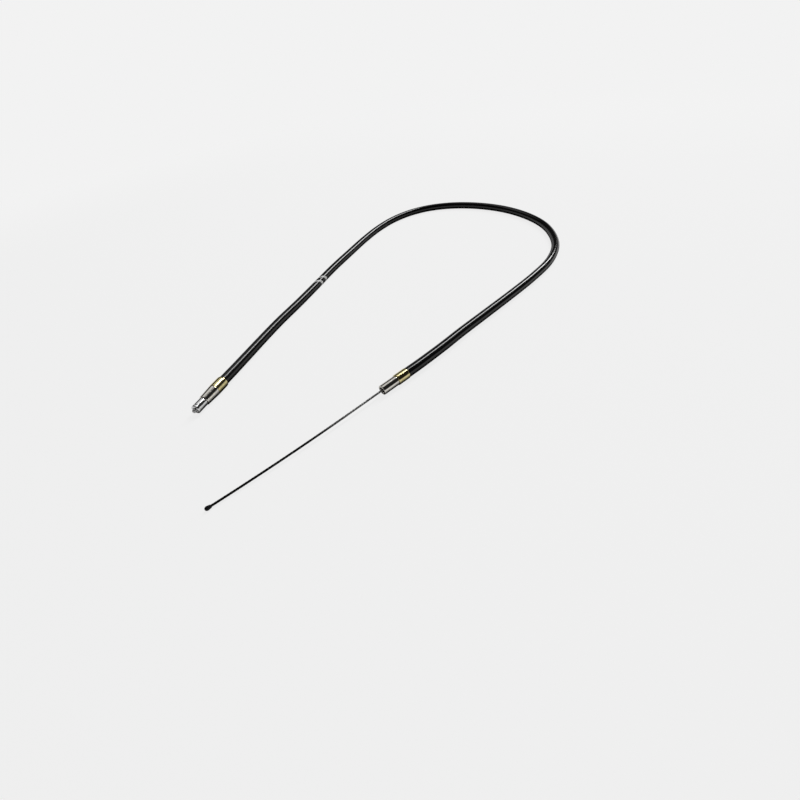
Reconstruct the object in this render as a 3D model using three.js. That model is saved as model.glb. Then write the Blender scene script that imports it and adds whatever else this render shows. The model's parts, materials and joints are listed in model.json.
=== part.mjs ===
// Accelerator cable with a black casing, stepped metal ends and a sliding inner wire.
// Millimetres, +Z up. The cable lies on z = 0, and the origin is under the middle of its outline.
// Each end is drawn along its own axis: 0 is where the casing meets the collar, and plus is outward.
import * as THREE from 'three';

// Inner wire, and how far the throttle pulls it
const wireRadius = 0.6;
const wireSides = 8;
const stroke = 20;
const wireHold = 6;
const wireGap = 0.6;
const straightMargin = 3;
const bareWireLength = 98.6;
const bareWireBend = THREE.MathUtils.degToRad(3.9);
const bareWireSteps = 6;

// Clearances
const faceGap = 0.3;
const wireRunning = 0.25;
const layerFit = 0.1;
const conduitClearance = 0.2;
const wireClearance = 0.15;
const crimpClearance = 0.2;

// Casing: liner, conduit and cover, one inside the other
const linerWall = 0.35;
const conduitWall = 0.8;
const coverWall = 0.8;
const linerBore = wireRadius + wireRunning;
const linerRadius = linerBore + linerWall;
const conduitBore = linerRadius + layerFit;
const conduitRadius = conduitBore + conduitWall;
const coverBore = conduitRadius + layerFit;
const coverRadius = coverBore + coverWall;
const casingSides = 12;
const linerSides = 8;
const casingSteps = 46;

// Turned edges
const edge = 0.3;
const ferruleEdge = 0.45;
const turnedSides = 28;
const nippleSides = 20;

// Throttle end
const throttleCollarWall = 0.4;
const throttleCollarRadius = coverRadius + crimpClearance + throttleCollarWall;
const throttleCollarLength = 8.0;
const throttleCoverGrip = 6.8;
const throttleFerruleLength = 9.4;
const throttleWireRoom = 0.4;
const throttleFerruleBore = wireRadius + throttleWireRoom;
const throttleTipWall = 2.1;
const throttleFerruleTip = throttleFerruleBore + throttleTipWall;
const throttleConduitSeat = 3.0;
const throttleNippleWall = 1.5;
const throttleNippleLength = 7.1;
const throttleSolderWall = 0.5;
const throttleSolderRadius = wireRadius + throttleSolderWall;
const throttleSolderDepth = 1.6;
const throttleSolderButton = 2.0;
const throttleSolderCrown = 0.5;
const throttleSolderSeat = throttleSolderRadius + wireClearance;
const throttleNippleRadius = throttleSolderSeat + throttleNippleWall;

// Carburettor end
const carbCollarWall = 0.9;
const carbCollarRadius = conduitRadius + conduitClearance + carbCollarWall;
const carbCollarLength = 8.0;
const carbFerruleWall = 0.55;
const carbFerruleRadius = conduitRadius + conduitClearance + carbFerruleWall;
const carbFerruleLength = 10.4;
const carbWireRoom = 0.9;
const carbFerruleBore = wireRadius + carbWireRoom;
const carbConduitSeat = 3.0;
const carbNippleWall = 0.35;
const carbNippleNeckWall = 0.2;
const carbNippleRadius = wireRadius + wireClearance + carbNippleWall;
const carbNippleLength = 2.3;
const carbNippleBelly = 1.1;
const carbNippleCrown = 0.45;
const carbNippleNeck = 1.8;

// Places along the throttle end, from the casing outward
const throttleFerruleStart = throttleCollarLength + faceGap;
const throttleFace = throttleFerruleStart + throttleFerruleLength;
const throttleConduitEnd = throttleFerruleStart + throttleConduitSeat - faceGap;
const throttleNippleStart = throttleFace + faceGap;
const throttleNippleEnd = throttleNippleStart + throttleNippleLength;
const throttleSolderStart = throttleNippleEnd - throttleSolderDepth;

// Places along the carburettor end, from the casing outward
const carbFerruleStart = carbCollarLength + faceGap;
const carbFace = carbFerruleStart + carbFerruleLength;
const carbConduitEnd = carbFerruleStart + carbConduitSeat - faceGap;
const carbNippleStart = carbFace + bareWireLength;
const carbNippleMiddle = carbNippleStart + carbNippleNeck;
const carbNippleEnd = carbNippleMiddle + carbNippleLength / 2;

// The sliding ends of the wire reach far enough in to stay held, and the middle run stops clear of both
const throttleWireInner = throttleFace - stroke - wireHold;
const carbWireInner = carbFace - wireHold;
const carbWireBendStart = carbFace + stroke + straightMargin;
const middleThrottleEnd = throttleWireInner - wireGap;
const middleCarbEnd = carbWireInner - stroke - wireGap;

// Where each end lies: the point where its casing meets its collar, and its outward direction in plan
const throttlePlan = new THREE.Vector2(-113.56, -87.74);
const throttleAngle = THREE.MathUtils.degToRad(251);
const carbPlan = new THREE.Vector2(-2.53, -96.85);
const carbAngle = THREE.MathUtils.degToRad(222.2);

// The throttle end lies level on its collar. The carburettor end slopes down to the nipple on its wire.
const restGap = 0.03;
const carbCollarRest = carbCollarRadius + restGap;
const carbNippleRest = carbNippleRadius + restGap;
const carbFall = (carbCollarRest - carbNippleRest) / (carbNippleMiddle - carbCollarLength);
const throttleAxis = endAxis(throttlePlan, throttleAngle, throttleCollarRadius, 0);
const carbAxis = endAxis(carbPlan, carbAngle, carbCollarRest + carbFall * carbCollarLength, carbFall);

// The casing is straight where the wire's ends slide in it, and a little past them
const straightThrottle = straightMargin - middleThrottleEnd;
const straightCarb = straightMargin - middleCarbEnd;

// The run between the two straight stretches, chosen by hand: x, y, and how far it lies off the ground
const casingRun = [
  [-106.8, -67.5, 0.6],
  [-93.8, -27, 0.3],
  [-83.8, -1, 0.1],
  [-74.3, 25, 0.05],
  [-64.3, 53, 0.05],
  [-51.8, 83, 0.05],
  [-40.8, 108.5, 0.05],
  [-28.3, 132.5, 0.05],
  [-13.3, 152.5, 0.05],
  [4.2, 166, 0.05],
  [23.2, 172.5, 0.05],
  [43.2, 172, 0.05],
  [62.7, 165.5, 0.05],
  [81.7, 153.5, 0.05],
  [98.2, 137, 0.05],
  [111.7, 115, 0.05],
  [119.7, 91, 0.05],
  [121.2, 67, 0.05],
  [117.2, 43, 0.05],
  [106.2, 19.5, 0.05],
  [90.2, -1, 0.05],
  [70.7, -22, 0.05],
  [50.7, -42.5, 0.1],
  [31.2, -62.5, 0.25],
  [19.7, -75, 0.4],
];

const steel = { color: 0xb9bcc0, roughness: 0.28, metalness: 1.0 };
const plated = { color: 0xc9c8c6, roughness: 0.22, metalness: 1.0 };
const brass = { color: 0xb08a3c, roughness: 0.3, metalness: 1.0 };

const group = new THREE.Group();

function endAxis(plan, angle, height, fall) {
  const outward = new THREE.Vector3(Math.cos(angle), Math.sin(angle), -fall).normalize();
  const start = new THREE.Vector3(plan.x, plan.y, height);
  return { outward, at: (along) => start.clone().addScaledVector(outward, along) };
}

// A path through given points in which every step ends on a point, so nested tubes keep the same corners
class PointPath extends THREE.Curve {
  constructor(points) {
    super();
    this.points = points;
  }

  getPointAt(u) {
    const place = u * (this.points.length - 1);
    const before = Math.min(Math.floor(place), this.points.length - 2);
    return this.points[before].clone().lerp(this.points[before + 1], place - before);
  }

  getTangentAt(u) {
    const last = this.points.length - 1;
    const here = Math.round(u * last);
    const before = this.points[Math.max(here - 1, 0)];
    const after = this.points[Math.min(here + 1, last)];
    const middle = this.points[here];
    const incoming = middle.clone().sub(before).normalize();
    const outgoing = after.clone().sub(middle).normalize();
    return incoming.add(outgoing).normalize();
  }
}

// The bare wire's centre line from inside the casing: straight as far as it slides, then one even bend in plan
function bareWireRun() {
  const points = [carbAxis.at(carbWireInner), carbAxis.at(carbWireBendStart)];
  const step = (carbNippleStart - carbWireBendStart) / bareWireSteps;
  for (let i = 0; i < bareWireSteps; i += 1) {
    const turn = (bareWireBend * (i + 0.5)) / bareWireSteps;
    points.push(points[i + 1].clone().addScaledVector(turnedBack(carbAxis.outward, turn), step));
  }
  return points;
}

function turnedBack(direction, angle) {
  return direction.clone().applyAxisAngle(new THREE.Vector3(0, 0, 1), -angle);
}

// The axis on which the bare wire ends, with the same places along it as the carburettor end
function wireTipAxis(points) {
  const last = points[points.length - 1];
  const outward = turnedBack(carbAxis.outward, bareWireBend);
  return { outward, at: (along) => last.clone().addScaledVector(outward, along - carbNippleStart) };
}

// The curved run of the casing, with the last points of both straight ends
function curvedRun() {
  const first = throttleAxis.at(-straightThrottle);
  const last = carbAxis.at(-straightCarb);
  const middle = casingRun.map(([x, y, lift]) => new THREE.Vector3(x, y, coverRadius + lift));
  const smooth = new THREE.CatmullRomCurve3([first, ...middle, last], false, 'centripetal');
  return smooth.getSpacedPoints(casingSteps);
}

// The centre line of a piece of the casing that reaches throttleEnd and carbEnd along the two end axes
function casingLine(throttleEnd, carbEnd) {
  return [throttleAxis.at(throttleEnd), ...runPoints, carbAxis.at(carbEnd)];
}

function ringPoints(radius, sides) {
  return Array.from({ length: sides }, (_, i) => {
    const turn = (i / sides) * 2 * Math.PI;
    return new THREE.Vector2(radius * Math.cos(turn), radius * Math.sin(turn));
  });
}

function tube(points, radius, bore, sides) {
  const section = new THREE.Shape(ringPoints(radius, sides));
  if (bore > 0) {
    section.holes.push(new THREE.Path(ringPoints(bore, sides)));
  }
  return new THREE.ExtrudeGeometry(section, { steps: points.length - 1, extrudePath: new PointPath(points) });
}

// A turned piece on an end axis. Its profile holds [radius, place along the axis], and closes on itself.
function turned(axis, profile, sides) {
  const points = profile.map(([radius, along]) => new THREE.Vector2(radius, along));
  const geometry = new THREE.LatheGeometry(points, sides);
  const turn = new THREE.Quaternion().setFromUnitVectors(new THREE.Vector3(0, 1, 0), axis.outward);
  geometry.applyQuaternion(turn);
  const start = axis.at(0);
  geometry.translate(start.x, start.y, start.z);
  return geometry;
}

function add(name, geometry, look) {
  const mesh = new THREE.Mesh(geometry, new THREE.MeshStandardMaterial(look));
  mesh.name = name;
  group.add(mesh);
}

// A straight tube of metal with its outer edges taken off, as [radius, along] points
function sleeve(from, to, radius, tipRadius, bore, cut) {
  return [
    [bore, from],
    [radius - cut, from],
    [radius, from + cut],
    [tipRadius, to - cut],
    [tipRadius - cut, to],
    [bore, to],
    [bore, from],
  ];
}

// A ferrule with a seat for the conduit's end behind and a narrower bore for the wire in front
function ferrule(from, to, radius, tipRadius, seat, bore) {
  const seatRadius = conduitRadius + conduitClearance;
  const seatEnd = from + seat;
  return [
    [seatRadius, from],
    [radius - edge, from],
    [radius, from + edge],
    [tipRadius, to - ferruleEdge],
    [tipRadius - ferruleEdge, to],
    [bore, to],
    [bore, seatEnd],
    [seatRadius, seatEnd],
    [seatRadius, from],
  ];
}

const runPoints = curvedRun();

function addCasing() {
  const cover = casingLine(throttleCoverGrip, 0);
  const conduit = casingLine(throttleConduitEnd, carbConduitEnd);
  const middle = casingLine(middleThrottleEnd, middleCarbEnd);
  add('outer_cover', tube(cover, coverRadius, coverBore, casingSides), { color: 0x0b0b0c, roughness: 0.25 });
  add('spiral_conduit', tube(conduit, conduitRadius, conduitBore, casingSides), steel);
  add('inner_liner', tube(conduit, linerRadius, linerBore, linerSides), { color: 0xe8e4da, roughness: 0.5 });
  add('inner_wire', tube(middle, wireRadius, 0, wireSides), steel);
}

function addThrottleEnd() {
  const axis = throttleAxis;
  const collarBore = coverRadius + crimpClearance;
  const wireBore = wireRadius + wireClearance;
  const collar = sleeve(0, throttleCollarLength, throttleCollarRadius, throttleCollarRadius, collarBore, edge);
  const nose = ferrule(
    throttleFerruleStart,
    throttleFace,
    throttleCollarRadius,
    throttleFerruleTip,
    throttleConduitSeat,
    throttleFerruleBore,
  );
  add('throttle_collar', turned(axis, collar, turnedSides), brass);
  add('throttle_ferrule', turned(axis, nose, turnedSides), plated);

  const seatFloor = throttleSolderStart - faceGap;
  const nipple = [
    [wireBore, throttleNippleStart],
    [throttleNippleRadius - edge, throttleNippleStart],
    [throttleNippleRadius, throttleNippleStart + edge],
    [throttleNippleRadius, throttleNippleEnd - ferruleEdge],
    [throttleNippleRadius - ferruleEdge, throttleNippleEnd],
    [throttleSolderSeat, throttleNippleEnd],
    [throttleSolderSeat, seatFloor],
    [wireBore, seatFloor],
    [wireBore, throttleNippleStart],
  ];
  add('throttle_nipple', turned(axis, nipple, turnedSides), plated);

  const buttonEnd = throttleNippleEnd + throttleSolderButton;
  const solder = [
    [0, throttleSolderStart],
    [throttleSolderRadius, throttleSolderStart],
    [throttleSolderRadius, buttonEnd - throttleSolderCrown],
    [throttleSolderRadius - throttleSolderCrown, buttonEnd],
    [0, buttonEnd],
  ];
  add('throttle_solder', turned(axis, solder, nippleSides), steel);
  const wire = [axis.at(throttleWireInner), axis.at(throttleSolderStart - faceGap)];
  add('throttle_wire_end', tube(wire, wireRadius, 0, wireSides), steel);
}

function addCarburettorEnd() {
  const axis = carbAxis;
  const collarBore = conduitRadius + conduitClearance;
  const wireBore = wireRadius + wireClearance;
  const collar = sleeve(faceGap, carbCollarLength, carbCollarRadius, carbCollarRadius, collarBore, edge);
  const nose = ferrule(
    carbFerruleStart,
    carbFace,
    carbFerruleRadius,
    carbFerruleRadius,
    carbConduitSeat,
    carbFerruleBore,
  );
  add('carburettor_collar', turned(axis, collar, turnedSides), brass);
  add('carburettor_ferrule', turned(axis, nose, turnedSides), plated);

  const neck = wireBore + carbNippleNeckWall;
  const boreEnd = carbNippleMiddle;
  const nipple = [
    [wireBore, carbNippleStart],
    [neck, carbNippleStart],
    [carbNippleRadius, carbNippleMiddle - carbNippleBelly / 2],
    [carbNippleRadius, carbNippleMiddle + carbNippleBelly / 2],
    [carbNippleRadius - carbNippleCrown, carbNippleEnd],
    [0, carbNippleEnd],
    [0, boreEnd],
    [wireBore, boreEnd],
    [wireBore, carbNippleStart],
  ];
  const wire = bareWireRun();
  const tip = wireTipAxis(wire);
  wire.push(tip.at(boreEnd - faceGap));
  add('carburettor_nipple', turned(tip, nipple, nippleSides), { color: 0x1b1a1a, roughness: 0.45, metalness: 0.6 });
  add('carburettor_wire_end', tube(wire, wireRadius, 0, wireSides), steel);
}

addCasing();
addThrottleEnd();
addCarburettorEnd();

export default group;
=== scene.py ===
"""Looks of an accelerator cable: glossy black casing, brass collars, plated ends and a stranded inner wire.

Metres, +Z up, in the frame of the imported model. The cable lies on z = 0.
A place along an end is counted from where the casing meets the collar, and plus is outward.
"""

import json
import math

import bmesh
import bpy
import numpy as np
from mathutils import Matrix, Vector


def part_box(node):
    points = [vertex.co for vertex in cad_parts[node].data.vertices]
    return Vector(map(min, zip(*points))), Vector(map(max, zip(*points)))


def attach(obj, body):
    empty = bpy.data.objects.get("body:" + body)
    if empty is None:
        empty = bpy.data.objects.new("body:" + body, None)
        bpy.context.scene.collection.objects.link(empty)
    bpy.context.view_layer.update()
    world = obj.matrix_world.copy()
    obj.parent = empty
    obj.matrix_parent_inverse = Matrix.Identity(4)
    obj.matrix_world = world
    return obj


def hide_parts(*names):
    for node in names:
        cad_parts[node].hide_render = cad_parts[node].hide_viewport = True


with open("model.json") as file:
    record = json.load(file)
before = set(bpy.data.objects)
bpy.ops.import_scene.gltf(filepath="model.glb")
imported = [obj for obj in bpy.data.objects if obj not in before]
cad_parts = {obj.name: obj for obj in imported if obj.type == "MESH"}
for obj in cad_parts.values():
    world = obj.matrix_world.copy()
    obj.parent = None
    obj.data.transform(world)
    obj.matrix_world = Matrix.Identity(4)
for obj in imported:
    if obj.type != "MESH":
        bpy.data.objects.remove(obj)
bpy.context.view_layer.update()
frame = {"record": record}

MM = 0.001
UP = np.array([0.0, 0.0, 1.0])

# Wire rope: six strands laid round a seventh
WIRE_RADIUS = 0.6 * MM
STRAND_COUNT = 6
STRAND_RADIUS = WIRE_RADIUS / 3
STRAND_CENTRE = WIRE_RADIUS - STRAND_RADIUS
ROPE_LAY = 9.0 * MM
ROPE_STEPS_PER_TURN = 14
BLACKENED_FROM_TO = (32.0 * MM, 68.0 * MM)
STROKE = 20.0 * MM
WIRE_HOLD = 6.0 * MM
WIRE_GAP = 0.6 * MM
STRAIGHT_MARGIN = 3.0 * MM
BARE_WIRE_LENGTH = 98.6 * MM
BARE_WIRE_BEND = math.radians(3.9)
BARE_WIRE_STEPS = 24

# Casing
LINER_BORE = 0.85 * MM
LINER_RADIUS = 1.2 * MM
CONDUIT_BORE = 1.3 * MM
CONDUIT_RADIUS = 2.1 * MM
COVER_BORE = 2.2 * MM
COVER_RADIUS = 3.0 * MM
CASING_STEP = 1.2 * MM
CONDUIT_PITCH = 1.3 * MM

# Small edges and seams
FINE_SEAM = 0.1 * MM
CUT_EDGE = 0.12 * MM
TURNED_EDGE = 0.3 * MM
NOSE_EDGE = 0.45 * MM
SEAT_EDGE = 0.05 * MM
FACE_GAP = 0.3 * MM
END_LINE_START = -12 * MM

# Throttle end
THROTTLE_COLLAR_LENGTH = 8.0 * MM
THROTTLE_COLLAR_RADIUS = 3.6 * MM
THROTTLE_COLLAR_BORE = 3.2 * MM
THROTTLE_COLLAR_LIP = 0.9 * MM
THROTTLE_COVER_GRIP = 6.8 * MM
THROTTLE_FERRULE_START = THROTTLE_COLLAR_LENGTH + FACE_GAP
THROTTLE_FACE = THROTTLE_FERRULE_START + 9.4 * MM
THROTTLE_FERRULE_TIP = 3.1 * MM
THROTTLE_FERRULE_BORE = 1.0 * MM
THROTTLE_NIPPLE_START = THROTTLE_FACE + FACE_GAP
THROTTLE_NIPPLE_END = THROTTLE_NIPPLE_START + 7.1 * MM
THROTTLE_NIPPLE_RADIUS = 2.75 * MM
THROTTLE_NIPPLE_GROOVE = THROTTLE_NIPPLE_END - 1.6 * MM
THROTTLE_GROOVE_DEPTH = 0.25 * MM
THROTTLE_LINE_END = 30 * MM
NIPPLE_WIRE_BORE = 0.75 * MM
SOLDER_RADIUS = 1.1 * MM
SOLDER_SEAT = 1.25 * MM
SOLDER_START = THROTTLE_NIPPLE_END - 1.6 * MM
SOLDER_END = THROTTLE_NIPPLE_END + 2.0 * MM
FERRULE_SEAT = 2.3 * MM
FERRULE_SEAT_DEPTH = 3.0 * MM
CONDUIT_REACH = THROTTLE_FERRULE_START + FERRULE_SEAT_DEPTH - FACE_GAP

# Carburettor end
CARB_COLLAR_LENGTH = 8.0 * MM
CARB_COLLAR_RADIUS = 3.2 * MM
CARB_COLLAR_BORE = 2.3 * MM
CARB_FERRULE_START = CARB_COLLAR_LENGTH + FACE_GAP
CARB_FACE = CARB_FERRULE_START + 10.4 * MM
CARB_FERRULE_RADIUS = 2.85 * MM
CARB_FERRULE_BORE = 1.5 * MM
CARB_MOUTH_EDGE = 0.35 * MM
CARB_WIRE_BEND_START = CARB_FACE + STROKE + STRAIGHT_MARGIN
CARB_NIPPLE_START = CARB_FACE + BARE_WIRE_LENGTH
CARB_NIPPLE_MIDDLE = CARB_NIPPLE_START + 1.8 * MM
CARB_NIPPLE_RADIUS = 1.1 * MM
CARB_NIPPLE_END = CARB_NIPPLE_MIDDLE + 1.15 * MM
CARB_NIPPLE_NECK = 0.82 * MM
CARB_LINE_TAIL = 5 * MM

# The casing's run between its two straight ends: x, y, and how far it lies off the ground
CASING_RUN_MM = [
    (-106.8, -67.5, 0.6),
    (-93.8, -27, 0.3),
    (-83.8, -1, 0.1),
    (-74.3, 25, 0.05),
    (-64.3, 53, 0.05),
    (-51.8, 83, 0.05),
    (-40.8, 108.5, 0.05),
    (-28.3, 132.5, 0.05),
    (-13.3, 152.5, 0.05),
    (4.2, 166, 0.05),
    (23.2, 172.5, 0.05),
    (43.2, 172, 0.05),
    (62.7, 165.5, 0.05),
    (81.7, 153.5, 0.05),
    (98.2, 137, 0.05),
    (111.7, 115, 0.05),
    (119.7, 91, 0.05),
    (121.2, 67, 0.05),
    (117.2, 43, 0.05),
    (106.2, 19.5, 0.05),
    (90.2, -1, 0.05),
    (70.7, -22, 0.05),
    (50.7, -42.5, 0.1),
    (31.2, -62.5, 0.25),
    (19.7, -75, 0.4),
]
STRAIGHT_THROTTLE = 11.9 * MM
STRAIGHT_CARB = 10.9 * MM

# Two white strokes painted round the cover: where, how wide, and how far out of square
MARK_PLACES_MM = [(-73.0, 25.8), (-69.3, 33.3)]
MARK_WIDTH = 2.5 * MM
MARK_SLANT = math.radians(50)
MARK_WAVE = 0.7 * MM
MARK_EDGE = 0.08 * MM

# The photograph's view
CAMERA_PLACE = (0.0117, -0.2713, 0.14434)
CAMERA_RIGHT = (0.99201736, 0.0, -0.12610139)
CAMERA_UP = (0.09217505, 0.68242049, 0.72512484)
CAMERA_LENS = 18.0
CAMERA_SENSOR = 36.0
CAMERA_SHIFT = 0.5 / 800

# Light and ground: the tones are linear, and the bands of the sky are in degrees above the horizon
GROUND_TONE = 0.888
GROUND_LIGHT = 0.625
SHADOW_SHARE = 0.12
# Reach and power of the painted shadow that mirrors see on the ground near the object's foot
CONTACT_REACH = 60.0 * MM
CONTACT_DEPTH = 8.0
GROUND_RADIUS = 4.0
SHADOW_REACH = 0.45
STRIP_FROM = Vector((0.41, 0.58, 0.70))
STRIP_DISTANCE = 2.5
STRIP_WIDTH = 0.5
STRIP_LENGTH = 1.75
STRIP_WATTS = 34.0
DOME_TONE = 0.8
DARK_TONE = 0.015
PALE_BELOW = -3.0
DARK_FROM, DARK_TO = 17.0, 32.0
DOME_FROM = 60.0
DOME_BEHIND = (0.2, 0.5)

# How finely the round pieces are cut
LATHE_SIDES = 96
SMALL_LATHE_SIDES = 48
COVER_SIDES = 48
INNER_SIDES = 20
STRAND_SIDES = 8


class Line:
    """A centre line: its points, the length along it, and two vectors across it that do not twist."""

    def __init__(self, points, first=0.0):
        self.points = np.array(points, float)
        steps = np.diff(self.points, axis=0)
        self.along = first + np.concatenate([[0.0], np.cumsum(np.linalg.norm(steps, axis=1))])
        tangents = np.gradient(self.points, self.along, axis=0)
        tangents /= np.linalg.norm(tangents, axis=1)[:, None]
        side = np.cross(tangents[0], UP)
        self.sides = []
        for tangent in tangents:
            side = side - side.dot(tangent) * tangent
            side /= np.linalg.norm(side)
            self.sides.append(side)
        self.sides = np.array(self.sides)
        self.others = np.cross(self.sides, tangents)

    def spread(self, values, along):
        return np.stack([np.interp(along, self.along, values[:, i]) for i in range(3)], axis=-1)

    def at(self, along):
        """The points at these lengths, and the two vectors across the line there."""
        along = np.asarray(along, float)
        return (
            self.spread(self.points, along),
            self.spread(self.sides, along),
            self.spread(self.others, along),
        )

    def stations(self, start, end):
        """The line's own lengths between two others."""
        return [s for s in self.along if start < s < end]


class End:
    """A straight end of the cable: where its casing meets its collar, and the way outward."""

    def __init__(self, outward, collar, collar_middle):
        self.outward = np.array(outward, float) / np.linalg.norm(outward)
        low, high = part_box(collar)
        self.start = (np.array(low) + np.array(high)) / 2 - self.outward * collar_middle

    def point(self, along):
        return self.start + self.outward * along

    def line(self, first, last):
        return Line([self.point(first), self.point(last)], first)


def turned_back(direction, angle):
    """A direction turned about the vertical, clockwise from above."""
    cos, sin = math.cos(angle), math.sin(angle)
    x, y, z = direction
    return np.array([cos * x + sin * y, cos * y - sin * x, z])


def bare_wire_line(carb):
    """The carburettor end's line through the bare wire, straight then evenly bent, and past its nipple."""
    points = [carb.point(END_LINE_START), carb.point(CARB_WIRE_BEND_START)]
    step = (CARB_NIPPLE_START - CARB_WIRE_BEND_START) / BARE_WIRE_STEPS
    for i in range(BARE_WIRE_STEPS):
        turn = BARE_WIRE_BEND * (i + 0.5) / BARE_WIRE_STEPS
        points.append(points[-1] + step * turned_back(carb.outward, turn))
    points.append(points[-1] + CARB_LINE_TAIL * turned_back(carb.outward, BARE_WIRE_BEND))
    return Line(points, END_LINE_START)


def joint_axis(name):
    joint = next(j for j in frame["record"]["behaviour"]["joints"] if j["name"] == name)
    return np.array(joint["axis"], float)


def even_points(points, step):
    """The same line with a point at each step of its length."""
    line = Line(points)
    count = round(line.along[-1] / step)
    return line.at(np.linspace(line.along[0], line.along[-1], count + 1))[0]


def smooth_run(points, samples=24):
    """A centripetal Catmull-Rom curve through the points."""
    points = [np.array(p, float) for p in points]
    padded = [2 * points[0] - points[1], *points, 2 * points[-1] - points[-2]]
    run = []
    for p0, p1, p2, p3 in zip(padded, padded[1:], padded[2:], padded[3:]):
        before, here, after = (
            math.sqrt(np.linalg.norm(b - a)) for a, b in ((p0, p1), (p1, p2), (p2, p3))
        )
        leave = ((p1 - p0) / before - (p2 - p0) / (before + here) + (p2 - p1) / here) * here
        arrive = ((p2 - p1) / here - (p3 - p1) / (here + after) + (p3 - p2) / after) * here
        for t in np.arange(samples) / samples:
            square, cube = t * t, t * t * t
            run.append(
                (2 * cube - 3 * square + 1) * p1
                + (cube - 2 * square + t) * leave
                + (3 * square - 2 * cube) * p2
                + (cube - square) * arrive
            )
    run.append(points[-1])
    return run


def eased(points, passes=6):
    """Rounds the slight corners where the straight ends meet the run. Both end points stay."""
    points = np.array(points)
    for _ in range(passes):
        points[1:-1] = (points[:-2] + 2 * points[1:-1] + points[2:]) / 4
    return points


def casing_line(throttle, carb):
    """The casing's centre line, counted from the throttle collar's mouth, and its length between collars."""
    middle = [np.array([x * MM, y * MM, COVER_RADIUS + lift * MM]) for x, y, lift in CASING_RUN_MM]
    run = smooth_run([throttle.point(-STRAIGHT_THROTTLE), *middle, carb.point(-STRAIGHT_CARB)])
    whole = [throttle.point(CONDUIT_REACH), *run, carb.point(CONDUIT_REACH)]
    line = Line(eased(even_points(whole, CASING_STEP)), -CONDUIT_REACH)
    return line, line.along[-1] - CONDUIT_REACH


# Meshes


def rings_to_faces(rings, sides, closed):
    faces = []
    for ring in range(rings if closed else rings - 1):
        here, there = ring * sides, (ring + 1) % rings * sides
        for i in range(sides):
            j = (i + 1) % sides
            faces.append((here + i, here + j, there + j, there + i))
    return faces


def loft(line, along, across, other, closed=False):
    """Rings of points round a line. across and other hold each ring's offsets, one row a ring."""
    along = np.asarray(along, float)
    middle, side, up = line.at(along)
    points = middle[:, None] + across[..., None] * side[:, None] + other[..., None] * up[:, None]
    lay = np.stack([np.broadcast_to(along[:, None], across.shape), across, other], axis=-1)
    faces = rings_to_faces(len(along), across.shape[1], closed)
    return points.reshape(-1, 3), lay.reshape(-1, 3), faces


def make_piece(name, lofts, material, body, replaced):
    """One mesh of the lofts, with each point's place along and across its line kept as the attribute lay."""
    points, lays, faces = [], [], []
    for loft_points, loft_lay, loft_faces in lofts:
        base = sum(len(p) for p in points)
        points.append(loft_points)
        lays.append(loft_lay)
        faces += [tuple(i + base for i in face) for face in loft_faces]
    mesh = bpy.data.meshes.new(name)
    mesh.from_pydata(np.concatenate(points).tolist(), [], faces)
    lay = mesh.attributes.new("lay", "FLOAT_VECTOR", "POINT")
    lay.data.foreach_set("vector", np.concatenate(lays).astype(np.float32).ravel())
    shape = bmesh.new()
    shape.from_mesh(mesh)
    bmesh.ops.remove_doubles(shape, verts=shape.verts, dist=1e-7)
    bmesh.ops.recalc_face_normals(shape, faces=shape.faces)
    shape.to_mesh(mesh)
    shape.free()
    mesh.shade_smooth()
    piece = bpy.data.objects.new(name, mesh)
    bpy.context.scene.collection.objects.link(piece)
    mesh.materials.append(material)
    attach(piece, body)
    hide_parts(replaced)
    return piece


def rounded(corners, segments=6):
    """A closed profile whose corners, given as (radius, along, size), are arcs of that size."""
    profile = []
    count = len(corners)
    for i, (radius, along, size) in enumerate(corners):
        corner = np.array([radius, along])
        if size == 0:
            profile.append(corner)
            continue
        ways = []
        for neighbour in (corners[i - 1], corners[(i + 1) % count]):
            way = np.array(neighbour[:2]) - corner
            ways.append(way / np.linalg.norm(way))
        start, end = corner + ways[0] * size, corner + ways[1] * size
        profile.append(start + ways[0] * size * 0.15)
        for t in np.linspace(0, 1, segments + 1):
            profile.append((1 - t) ** 2 * start + 2 * t * (1 - t) * corner + t**2 * end)
        profile.append(end + ways[1] * size * 0.15)
    return profile


def turned(line, profile, sides=LATHE_SIDES, wobble=None):
    """A closed profile of (radius, along) swept round the line."""
    profile = np.array(profile)
    turns = np.arange(sides) * 2 * math.pi / sides
    radius = np.repeat(profile[:, :1], sides, axis=1)
    if wobble:
        radius = radius * wobble(turns[None, :], profile[:, 1:])
    return loft(line, profile[:, 1], radius * np.cos(turns), radius * np.sin(turns), closed=True)


def pipe(line, start, end, radius, bore, sides, edge=CUT_EDGE):
    """A tube that follows the line from one length to another, with rounded cut ends."""
    ends = rounded([(bore, start, edge), (radius, start, edge), (radius, end, edge), (bore, end, edge)])
    half = len(ends) // 2
    stations = line.stations(start + 2 * edge, end - 2 * edge)
    outside = [(radius, s) for s in stations]
    inside = [(bore, s) for s in reversed(stations)]
    return turned(line, [*ends[:half], *outside, *ends[half:], *inside], sides)


def strand(line, stations, centre, phase):
    """One strand of a rope, with a small cone at each cut end."""
    tapered = np.concatenate([stations[:1], stations, stations[-1:]])
    size = np.full(len(tapered), STRAND_RADIUS)
    size[[0, -1]] = 0.0
    turn = 2 * math.pi * tapered / ROPE_LAY + phase
    round_it = np.arange(STRAND_SIDES) * 2 * math.pi / STRAND_SIDES
    across = centre * np.cos(turn)[:, None] + size[:, None] * np.cos(round_it)
    other = centre * np.sin(turn)[:, None] + size[:, None] * np.sin(round_it)
    return loft(line, tapered, across, other)


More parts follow.
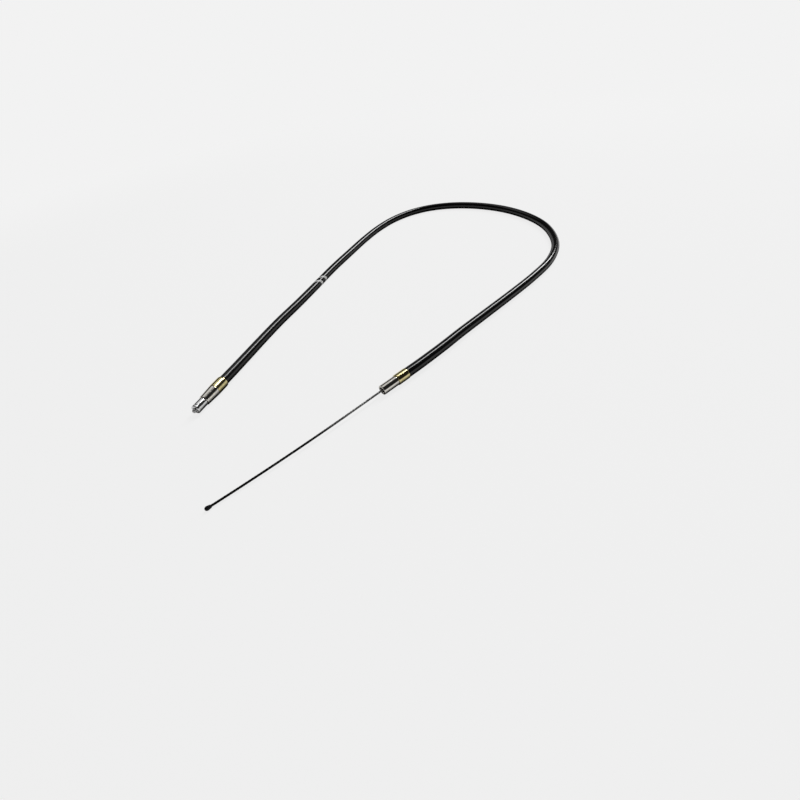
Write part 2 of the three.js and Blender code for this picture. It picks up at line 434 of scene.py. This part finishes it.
def rope(line, start, end, steps_per_turn=ROPE_STEPS_PER_TURN):
    """The strands of a wire rope that follows the line."""
    count = max(2, round((end - start) / ROPE_LAY * steps_per_turn))
    stations = np.linspace(start, end, count + 1)
    around = [
        strand(line, stations, STRAND_CENTRE, i * 2 * math.pi / STRAND_COUNT) for i in range(STRAND_COUNT)
    ]
    return [*around, strand(line, stations, 0.0, 0.0)]


# Materials


class Tree:
    """Shader nodes of a material or a world."""

    def __init__(self, owner):
        owner.use_nodes = True
        self.nodes = owner.node_tree.nodes
        self.links = owner.node_tree.links

    def add(self, kind, settings=None, **inputs):
        """A node with its settings, whose inputs are numbers or the outputs of other nodes."""
        made = self.nodes.new(kind)
        for key, value in (settings or {}).items():
            setattr(made, key, value)
        for key, value in inputs.items():
            self.feed(made.inputs[int(key[1:]) if key[1:].isdigit() else key.replace("_", " ")], value)
        return made

    def feed(self, socket, value):
        if isinstance(value, bpy.types.NodeSocket):
            self.links.new(value, socket)
        else:
            socket.default_value = value

    def math(self, operation, *values):
        made = self.nodes.new("ShaderNodeMath")
        made.operation = operation
        for socket, value in zip(made.inputs, values):
            self.feed(socket, value)
        return made.outputs[0]

    def span(self, value, low, high, to_low=0.0, to_high=1.0):
        """A value between low and high, spread smoothly from one number to another."""
        made = self.add(
            "ShaderNodeMapRange",
            {"interpolation_type": "SMOOTHSTEP"},
            Value=value,
            From_Min=low,
            From_Max=high,
            To_Min=to_low,
            To_Max=to_high,
        )
        return made.outputs["Result"]

    def mix(self, share, first, second):
        made = self.add("ShaderNodeMix", {"data_type": "RGBA"}, Factor=share)
        self.feed(made.inputs[6], first)
        self.feed(made.inputs[7], second)
        return made.outputs[2]


class Look(Tree):
    """A procedural material, built node by node round one Principled shader."""

    def __init__(self, name):
        self.material = bpy.data.materials.new(name)
        super().__init__(self.material)
        self.shader = self.nodes["Principled BSDF"]

    def set(self, **values):
        for key, value in values.items():
            self.feed(self.shader.inputs[key.replace("_", " ")], value)

    def lay(self, along, across):
        """The piece's own coordinates, along its line and across it, at a scale for each."""
        scales = (along, across, across)
        place = self.add("ShaderNodeAttribute", {"attribute_name": "lay"}).outputs["Vector"]
        scale = self.add("ShaderNodeVectorMath", {"operation": "MULTIPLY"}, i0=place, i1=scales)
        return scale.outputs["Vector"]

    def noise(self, along, across, detail=3.0, roughness=0.55, distortion=0.0):
        """Noise whose features are about 1/along metres long and 1/across metres wide."""
        made = self.add(
            "ShaderNodeTexNoise",
            Vector=self.lay(along, across),
            Scale=1.0,
            Detail=detail,
            Roughness=roughness,
            Distortion=distortion,
        )
        return made.outputs["Fac"]

    def bump(self, height, distance, strength=1.0, under=None):
        made = self.add("ShaderNodeBump", Height=height, Distance=distance, Strength=strength)
        if under is not None:
            self.feed(made.inputs["Normal"], under)
        return made.outputs["Normal"]


def colour(red, green=None, blue=None):
    return (red, green if green is not None else red, blue if blue is not None else red, 1.0)


def mark_share(look, places):
    """Where the cover is painted white: two slanted bands whose edges waver."""
    lay = look.add("ShaderNodeAttribute", {"attribute_name": "lay"}).outputs["Vector"]
    split = look.add("ShaderNodeSeparateXYZ", i0=lay)
    along, across = split.outputs["X"], split.outputs["Y"]
    waver = look.noise(90.0, 260.0, detail=1.0)
    shift = look.math("MULTIPLY_ADD", waver, 2 * MARK_WAVE, -MARK_WAVE)
    slanted = look.math("MULTIPLY_ADD", across, -math.tan(MARK_SLANT), along)
    wavy = look.math("ADD", slanted, shift)
    bands = []
    for place in places:
        away = look.math("ABSOLUTE", look.math("SUBTRACT", wavy, place))
        bands.append(look.span(away, MARK_WIDTH / 2 - MARK_EDGE, MARK_WIDTH / 2 + MARK_EDGE, 1.0, 0.0))
    return look.math("MAXIMUM", *bands)


def cover_look(places):
    look = Look("black_cover_plastic")
    painted = mark_share(look, places)
    cloud = look.noise(45.0, 300.0, detail=4.0)
    cloudy = look.span(cloud, 0.35, 0.75)
    black = look.mix(cloudy, colour(0.004, 0.004, 0.0042), colour(0.008, 0.0078, 0.0076))
    worn = look.noise(700.0, 900.0, detail=4.0)
    white = look.mix(look.span(worn, 0.45, 0.8), colour(0.86, 0.86, 0.85), colour(0.68, 0.68, 0.66))
    look.set(Base_Color=look.mix(painted, black, white))
    haze = look.span(look.noise(25.0, 220.0, detail=5.0), 0.3, 0.75, 0.11, 0.19)
    rough = look.math("MULTIPLY_ADD", painted, 0.22, haze)
    look.set(Roughness=rough)
    look.set(Specular_IOR_Level=0.42)
    drawn = look.noise(14.0, 1900.0, detail=2.0)
    peel = look.noise(650.0, 800.0, detail=2.0)
    lines = look.bump(drawn, 0.004 * MM)
    look.set(Normal=look.bump(peel, 0.006 * MM, under=lines))
    return look.material


def turned_look(name, bright, dull, rough, ring_depth, stain):
    """Turned metal: fine rings from the tool, a few scratches, and dull patches."""
    look = Look(name)
    patches = look.noise(260.0, 320.0, detail=5.0, distortion=0.4)
    flecks = look.noise(1800.0, 1500.0, detail=3.0)
    soiled = look.math("MULTIPLY", look.span(patches, 0.42, 0.78), stain)
    speckled = look.math("MULTIPLY", look.span(flecks, 0.6, 0.8), stain * 0.6)
    look.set(Base_Color=look.mix(look.math("MAXIMUM", soiled, speckled), colour(*bright), colour(*dull)))
    look.set(Metallic=1.0)
    rings = look.noise(5000.0, 60.0, detail=2.0)
    scuff = look.noise(300.0, 1600.0, detail=2.0)
    rough_base = look.span(rings, 0.3, 0.7, rough * 0.8, rough * 1.25)
    look.set(Roughness=look.math("MULTIPLY_ADD", soiled, 0.18, rough_base))
    turned_rings = look.bump(rings, ring_depth)
    look.set(Normal=look.bump(scuff, ring_depth * 0.5, under=turned_rings))
    return look.material


def solder_look():
    look = Look("soft_solder")
    blotches = look.noise(900.0, 900.0, detail=4.0)
    blotched = look.span(blotches, 0.35, 0.7)
    look.set(Base_Color=look.mix(blotched, colour(0.62, 0.62, 0.61), colour(0.42, 0.42, 0.43)))
    look.set(Metallic=1.0)
    look.set(Roughness=look.span(blotches, 0.3, 0.75, 0.3, 0.5))
    look.set(Normal=look.bump(look.noise(1500.0, 1500.0, detail=3.0), 0.03 * MM))
    return look.material


def rope_look():
    """Steel strands, bright on their crowns and dark with oil in the grooves between them."""
    look = Look("oiled_strand_steel")
    lay = look.add("ShaderNodeAttribute", {"attribute_name": "lay"}).outputs["Vector"]
    split = look.add("ShaderNodeSeparateXYZ", i0=lay)
    squares = [look.math("POWER", split.outputs[axis], 2.0) for axis in ("Y", "Z")]
    out = look.math("SQRT", look.math("ADD", *squares))
    crown = look.span(out, 0.42 * MM, 0.59 * MM)
    oil = look.span(look.noise(120.0, 700.0, detail=3.0), 0.35, 0.7, 1.0, 0.45)
    wiped = look.span(split.outputs["X"], *BLACKENED_FROM_TO, 1.0, 0.06)
    clean = look.math("MULTIPLY", crown, look.math("MULTIPLY", oil, wiped))
    look.set(Base_Color=look.mix(clean, colour(0.012, 0.011, 0.01), colour(0.5, 0.5, 0.495)))
    look.set(Metallic=look.span(out, 0.4 * MM, 0.5 * MM, 0.55, 1.0))
    look.set(Roughness=look.span(out, 0.4 * MM, 0.6 * MM, 0.5, 0.3))
    look.set(Normal=look.bump(look.noise(350.0, 6500.0, detail=2.0), 0.012 * MM))
    return look.material


def conduit_look():
    """Flat steel wire wound close: a helical groove, with the wire's own fine lines along it."""
    look = Look("wound_flat_steel")
    lay = look.add("ShaderNodeAttribute", {"attribute_name": "lay"}).outputs["Vector"]
    split = look.add("ShaderNodeSeparateXYZ", i0=lay)
    turn = look.math("DIVIDE", look.math("ARCTAN2", split.outputs["Z"], split.outputs["Y"]), 2 * math.pi)
    coil = look.math("FRACT", look.math("ADD", look.math("DIVIDE", split.outputs["X"], CONDUIT_PITCH), turn))
    centred = look.math("ABSOLUTE", look.math("SUBTRACT", coil, 0.5))
    crown = look.span(centred, 0.36, 0.5, 1.0, 0.0)
    look.set(Base_Color=look.mix(crown, colour(0.1, 0.095, 0.09), colour(0.52, 0.53, 0.55)))
    look.set(Metallic=1.0)
    look.set(Roughness=look.span(look.noise(3000.0, 400.0), 0.3, 0.7, 0.24, 0.4))
    look.set(Normal=look.bump(crown, 0.15 * MM))
    return look.material


def liner_look():
    look = Look("milky_liner_plastic")
    cloud = look.noise(120.0, 600.0, detail=3.0)
    look.set(Base_Color=look.mix(cloud, colour(0.84, 0.82, 0.76), colour(0.76, 0.74, 0.67)))
    look.set(Roughness=look.span(cloud, 0.3, 0.7, 0.35, 0.5))
    look.set(Normal=look.bump(look.noise(20.0, 2500.0), 0.004 * MM))
    return look.material


# Camera


def add_camera():
    data = bpy.data.cameras.new("photo_view")
    data.lens = CAMERA_LENS
    data.sensor_width = CAMERA_SENSOR
    data.shift_x = -CAMERA_SHIFT
    data.shift_y = CAMERA_SHIFT
    data.clip_start = 0.01
    data.clip_end = 50.0
    camera = bpy.data.objects.new("photo_view", data)
    bpy.context.scene.collection.objects.link(camera)
    right, up = Vector(CAMERA_RIGHT), Vector(CAMERA_UP)
    turn = Matrix((right, up, right.cross(up))).transposed()
    camera.matrix_world = Matrix.Translation(CAMERA_PLACE) @ turn.to_4x4()
    bpy.context.scene.camera = camera


# Pieces


def add_casing(throttle, carb):
    """The cover, conduit, liner and the middle of the wire, one inside the other."""
    line, length = casing_line(throttle, carb)
    places = []
    for x, y in MARK_PLACES_MM:
        nearest = np.argmin(np.linalg.norm(line.points[:, :2] - np.array([x, y]) * MM, axis=1))
        places.append(float(line.along[nearest]))
    cover_end = length + FACE_GAP - FINE_SEAM
    cover = make_piece(
        "casing_cover",
        [pipe(line, -THROTTLE_COVER_GRIP, cover_end, COVER_RADIUS, COVER_BORE, COVER_SIDES)],
        cover_look(places),
        "casing",
        "outer_cover",
    )
    make_piece(
        "wound_conduit",
        [pipe(line, -CONDUIT_REACH, length + CONDUIT_REACH, CONDUIT_RADIUS, CONDUIT_BORE, INNER_SIDES)],
        conduit_look(),
        "casing",
        "spiral_conduit",
    )
    make_piece(
        "liner_tube",
        [pipe(line, -CONDUIT_REACH, length + CONDUIT_REACH, LINER_RADIUS, LINER_BORE, INNER_SIDES)],
        liner_look(),
        "casing",
        "inner_liner",
    )
    throttle_stop = -(THROTTLE_FACE - STROKE - WIRE_HOLD - WIRE_GAP)
    carb_stop = length + CARB_FACE - WIRE_HOLD - STROKE - WIRE_GAP
    make_piece(
        "inner_wire_middle",
        rope(line, throttle_stop, carb_stop, steps_per_turn=8),
        rope_material,
        "casing",
        "inner_wire",
    )
    return cover, line, cover_end


def lathe_piece(node, line, corners, material, body):
    """A turned piece with rounded corners that stands for one node."""
    return make_piece(f"{node}_turned", [turned(line, rounded(corners))], material, body, node)


def add_throttle_end(throttle):
    line = throttle.line(END_LINE_START, THROTTLE_LINE_END)
    lip = COVER_RADIUS + 0.03 * MM
    collar = [
        (lip, 0, 0.08 * MM),
        (THROTTLE_COLLAR_RADIUS - 0.12 * MM, 0, 0.2 * MM),
        (THROTTLE_COLLAR_RADIUS, THROTTLE_COLLAR_LIP, 0.25 * MM),
        (THROTTLE_COLLAR_RADIUS, THROTTLE_COLLAR_LENGTH + FINE_SEAM, TURNED_EDGE),
        (THROTTLE_COLLAR_BORE, THROTTLE_COLLAR_LENGTH + FINE_SEAM, SEAT_EDGE),
        (THROTTLE_COLLAR_BORE, THROTTLE_COLLAR_LIP, SEAT_EDGE),
    ]
    ferrule = [
        (FERRULE_SEAT, THROTTLE_FERRULE_START - FINE_SEAM, SEAT_EDGE),
        (THROTTLE_COLLAR_RADIUS, THROTTLE_FERRULE_START - FINE_SEAM, TURNED_EDGE),
        (THROTTLE_FERRULE_TIP, THROTTLE_FACE, NOSE_EDGE),
        (THROTTLE_FERRULE_BORE, THROTTLE_FACE, 0.15 * MM),
        (THROTTLE_FERRULE_BORE, THROTTLE_FERRULE_START + FERRULE_SEAT_DEPTH, SEAT_EDGE),
        (FERRULE_SEAT, THROTTLE_FERRULE_START + FERRULE_SEAT_DEPTH, SEAT_EDGE),
    ]
    seat_floor = SOLDER_START - FACE_GAP
    nipple = [
        (NIPPLE_WIRE_BORE, THROTTLE_NIPPLE_START - FINE_SEAM, SEAT_EDGE),
        (THROTTLE_NIPPLE_RADIUS, THROTTLE_NIPPLE_START - FINE_SEAM, TURNED_EDGE),
        (THROTTLE_NIPPLE_RADIUS, THROTTLE_NIPPLE_GROOVE - 0.35 * MM, 0.1 * MM),
        (THROTTLE_NIPPLE_RADIUS - THROTTLE_GROOVE_DEPTH, THROTTLE_NIPPLE_GROOVE - 0.2 * MM, SEAT_EDGE),
        (THROTTLE_NIPPLE_RADIUS - THROTTLE_GROOVE_DEPTH, THROTTLE_NIPPLE_GROOVE, SEAT_EDGE),
        (THROTTLE_NIPPLE_RADIUS, THROTTLE_NIPPLE_GROOVE + 0.15 * MM, 0.1 * MM),
        (THROTTLE_NIPPLE_RADIUS, THROTTLE_NIPPLE_END, NOSE_EDGE),
        (SOLDER_SEAT + 0.25 * MM, THROTTLE_NIPPLE_END, 0.08 * MM),
        (SOLDER_SEAT, THROTTLE_NIPPLE_END - 0.3 * MM, 0.08 * MM),
        (SOLDER_SEAT, seat_floor, SEAT_EDGE),
        (NIPPLE_WIRE_BORE, seat_floor, SEAT_EDGE),
    ]
    button = [
        (0, SOLDER_START, 0),
        (SOLDER_RADIUS, SOLDER_START, 0.1 * MM),
        (SOLDER_RADIUS + 0.08 * MM, THROTTLE_NIPPLE_END, 0.3 * MM),
        (SOLDER_RADIUS * 0.94, SOLDER_END - 0.1 * MM, 0.75 * MM),
        (0, SOLDER_END, 0),
    ]

    def lumpy(turn, along):
        out = np.clip((along - THROTTLE_NIPPLE_END) / MM, 0, 1)
        return 1 + out * (0.035 * np.sin(3 * turn + 0.7) + 0.02 * np.sin(5 * turn + 2.1) - 0.04)

    lathe_piece("throttle_collar", line, collar, brass, "casing")
    lathe_piece("throttle_ferrule", line, ferrule, plated, "casing")
    lathe_piece("throttle_nipple", line, nipple, bright_plated, "throttle_wire")
    make_piece(
        "throttle_solder_button",
        [turned(line, rounded(button), SMALL_LATHE_SIDES, lumpy)],
        solder_look(),
        "throttle_wire",
        "throttle_solder",
    )
    make_piece(
        "throttle_wire_strands",
        rope(line, THROTTLE_FACE - STROKE - WIRE_HOLD, seat_floor),
        rope_material,
        "throttle_wire",
        "throttle_wire_end",
    )


def add_carburettor_end(carb):
    line = bare_wire_line(carb)
    collar = [
        (CARB_COLLAR_BORE, FACE_GAP, SEAT_EDGE),
        (CARB_COLLAR_RADIUS, FACE_GAP, TURNED_EDGE),
        (CARB_COLLAR_RADIUS, CARB_COLLAR_LENGTH + FINE_SEAM, TURNED_EDGE),
        (CARB_COLLAR_BORE, CARB_COLLAR_LENGTH + FINE_SEAM, SEAT_EDGE),
    ]
    ferrule = [
        (FERRULE_SEAT, CARB_FERRULE_START - FINE_SEAM, SEAT_EDGE),
        (CARB_FERRULE_RADIUS, CARB_FERRULE_START - FINE_SEAM, TURNED_EDGE),
        (CARB_FERRULE_RADIUS, CARB_FACE, NOSE_EDGE),
        (CARB_FERRULE_BORE + CARB_MOUTH_EDGE, CARB_FACE, 0.1 * MM),
        (CARB_FERRULE_BORE, CARB_FACE - CARB_MOUTH_EDGE, 0.1 * MM),
        (CARB_FERRULE_BORE, CARB_FERRULE_START + FERRULE_SEAT_DEPTH, SEAT_EDGE),
        (FERRULE_SEAT, CARB_FERRULE_START + FERRULE_SEAT_DEPTH, SEAT_EDGE),
    ]
    nipple = [(NIPPLE_WIRE_BORE, CARB_NIPPLE_MIDDLE), (NIPPLE_WIRE_BORE, CARB_NIPPLE_START)]
    nipple += ball_profile()
    wire_from = CARB_FACE - WIRE_HOLD
    wire_to = CARB_NIPPLE_MIDDLE - FACE_GAP
    collar_piece = lathe_piece("carburettor_collar", line, collar, brass, "casing")
    ferrule_piece = lathe_piece("carburettor_ferrule", line, ferrule, plated, "casing")
    nipple_piece = make_piece(
        "carburettor_ball_nipple",
        [turned(line, nipple, SMALL_LATHE_SIDES)],
        dark_metal,
        "carburettor_wire",
        "carburettor_nipple",
    )
    wire = make_piece(
        "carburettor_wire_strands",
        rope(line, wire_from, wire_to),
        rope_material,
        "carburettor_wire",
        "carburettor_wire_end",
    )
    carb.point(CARB_FACE).tolist()
    line.at(np.linspace(wire_from, wire_to, 30))[0].tolist()
    return [collar_piece, ferrule_piece]


def ball_profile(segments=14):
    """The pear-shaped nipple's outside: a short neck that flares into a ball, closed on the axis."""
    outside = [
        (CARB_NIPPLE_NECK - 0.1 * MM, CARB_NIPPLE_START),
        (CARB_NIPPLE_NECK, CARB_NIPPLE_START + 0.12 * MM),
    ]
    flare = CARB_NIPPLE_MIDDLE - CARB_NIPPLE_START
    for t in np.linspace(0.15, 1, 8):
        ease = t * t * (3 - 2 * t)
        radius = CARB_NIPPLE_NECK + (CARB_NIPPLE_RADIUS - CARB_NIPPLE_NECK) * ease
        outside.append((radius, CARB_NIPPLE_START + flare * t))
    depth = CARB_NIPPLE_END - CARB_NIPPLE_MIDDLE
    for t in np.linspace(0, math.pi / 2, segments)[1:]:
        outside.append((CARB_NIPPLE_RADIUS * math.cos(t), CARB_NIPPLE_MIDDLE + depth * math.sin(t)))
    outside[-1] = (0.0, CARB_NIPPLE_END)
    outside.append((0.0, CARB_NIPPLE_MIDDLE))
    return outside


# Ground and light


def add_ground():
    """A pale ground of one tone, to the camera and in mirrors. The camera also sees the object's soft shadow,
    as a small share of real light near it, and mirrors see a deeper, painted shadow close to its foot."""
    look = Look("pale_ground")
    look.nodes.remove(look.shader)
    rays = look.add("ShaderNodeLightPath").outputs
    camera_ray = rays["Is Camera Ray"]
    mirror_ray = look.math("MAXIMUM", rays["Is Glossy Ray"], rays["Is Transmission Ray"])
    direct = look.math("MAXIMUM", camera_ray, mirror_ray)
    place = look.add("ShaderNodeNewGeometry").outputs["Position"]
    away = look.add("ShaderNodeVectorMath", {"operation": "LENGTH"}, i0=place).outputs["Value"]
    near = look.span(away, SHADOW_REACH, 2 * SHADOW_REACH, 1.0, 0.0)
    share = look.math("MULTIPLY", look.math("MULTIPLY", near, camera_ray), SHADOW_SHARE)
    # Painted shadow: in mirrors the ground's glow is darkened near the object by its ambient occlusion raised
    # to CONTACT_DEPTH.
    open_sky = look.add("ShaderNodeAmbientOcclusion", Distance=CONTACT_REACH).outputs["AO"]
    foot = look.math("POWER", open_sky, CONTACT_DEPTH)
    mirrored = look.math("MULTIPLY", foot, GROUND_TONE)
    seen_tone = look.math("MULTIPLY_ADD", share, -GROUND_LIGHT, GROUND_TONE)
    tone = look.add("ShaderNodeMix", {"data_type": "FLOAT"}, Factor=camera_ray, i2=mirrored, i3=seen_tone)
    glow = look.add("ShaderNodeEmission", Color=colour(1.0), Strength=tone.outputs[0])
    shade = look.add("ShaderNodeBsdfDiffuse", Color=look.mix(share, colour(0.0), colour(1.0)))
    seen = look.add("ShaderNodeAddShader", i0=shade.outputs[0], i1=glow.outputs[0])
    plain = look.add("ShaderNodeBsdfDiffuse", Color=colour(0.8))
    both = look.add("ShaderNodeMixShader", i0=direct, i1=plain.outputs[0], i2=seen.outputs[0])
    look.feed(look.nodes["Material Output"].inputs["Surface"], both.outputs[0])
    shape = bmesh.new()
    bmesh.ops.create_circle(shape, cap_ends=True, radius=GROUND_RADIUS, segments=96)
    mesh = bpy.data.meshes.new("ground")
    shape.to_mesh(mesh)
    shape.free()
    mesh.materials.append(look.material)
    ground = bpy.data.objects.new("ground", mesh)
    bpy.context.scene.collection.objects.link(ground)


def add_world():
    """A studio that is pale at the horizon, dark above it and pale high at the back.

    The camera sees one tone."""
    world = bpy.data.worlds.new("studio")
    bpy.context.scene.world = world
    tree = Tree(world)
    tree.nodes.clear()
    place = tree.add("ShaderNodeTexCoord").outputs["Generated"]
    way = tree.add("ShaderNodeSeparateXYZ", i0=place).outputs
    pale, dark, dark_end, dome_start = (
        math.sin(math.radians(angle)) for angle in (PALE_BELOW, DARK_FROM, DARK_TO, DOME_FROM)
    )
    horizon = tree.span(way["Z"], pale, dark, GROUND_TONE, DARK_TONE)
    dome = tree.span(way["Z"], dark_end, dome_start, 0.0, DOME_TONE - DARK_TONE)
    behind = tree.span(way["Y"], *DOME_BEHIND)
    strength = tree.math("MULTIPLY_ADD", dome, behind, horizon)
    room = tree.add("ShaderNodeBackground", Color=colour(1.0), Strength=strength)
    seen = tree.add("ShaderNodeBackground", Color=colour(GROUND_TONE))
    camera_ray = tree.add("ShaderNodeLightPath").outputs["Is Camera Ray"]
    both = tree.add("ShaderNodeMixShader", i0=camera_ray, i1=room.outputs[0], i2=seen.outputs[0])
    tree.add("ShaderNodeOutputWorld", Surface=both.outputs[0])


def add_strip():
    """A long narrow softbox, high behind the cable, that draws the thin line along the casing."""
    data = bpy.data.lights.new("strip", "AREA")
    data.shape = "RECTANGLE"
    data.size = STRIP_WIDTH
    data.size_y = STRIP_LENGTH
    data.energy = STRIP_WATTS
    lamp = bpy.data.objects.new("strip", data)
    bpy.context.scene.collection.objects.link(lamp)
    way = STRIP_FROM.normalized()
    lamp.location = way * STRIP_DISTANCE
    lamp.rotation_euler = way.to_track_quat("Z", "Y").to_euler()
    lamp.visible_camera = False


throttle_end = End(joint_axis("throttle_pull"), "throttle_collar", THROTTLE_COLLAR_LENGTH / 2)
carburettor_end = End(
    -joint_axis("carburettor_draw"), "carburettor_collar", (FACE_GAP + CARB_COLLAR_LENGTH) / 2
)

# Each metal's bright and dull colours, roughness, depth of turning rings and share of stain
brass = turned_look("turned_brass", (0.74, 0.65, 0.34), (0.42, 0.34, 0.14), 0.1, 0.0015 * MM, 0.4)
plated = turned_look("plated_ferrule_metal", (0.74, 0.715, 0.66), (0.5, 0.45, 0.4), 0.09, 0.0012 * MM, 0.3)
bright_plated = turned_look(
    "plated_nipple_metal", (0.77, 0.77, 0.77), (0.5, 0.5, 0.5), 0.09, 0.0012 * MM, 0.25
)
dark_metal = turned_look(
    "blackened_nipple_metal", (0.03, 0.03, 0.032), (0.012, 0.011, 0.01), 0.42, 0.006 * MM, 0.8
)
rope_material = rope_look()

add_camera()
cover, casing, cover_end = add_casing(throttle_end, carburettor_end)
add_throttle_end(throttle_end)
carburettor_pieces = add_carburettor_end(carburettor_end)
cover_stations = [-THROTTLE_COVER_GRIP, *casing.stations(-THROTTLE_COVER_GRIP, cover_end), cover_end]
casing.at(cover_stations)[0].tolist()
add_ground()
add_world()
add_strip()

bpy.context.scene.view_settings.view_transform = "Standard"
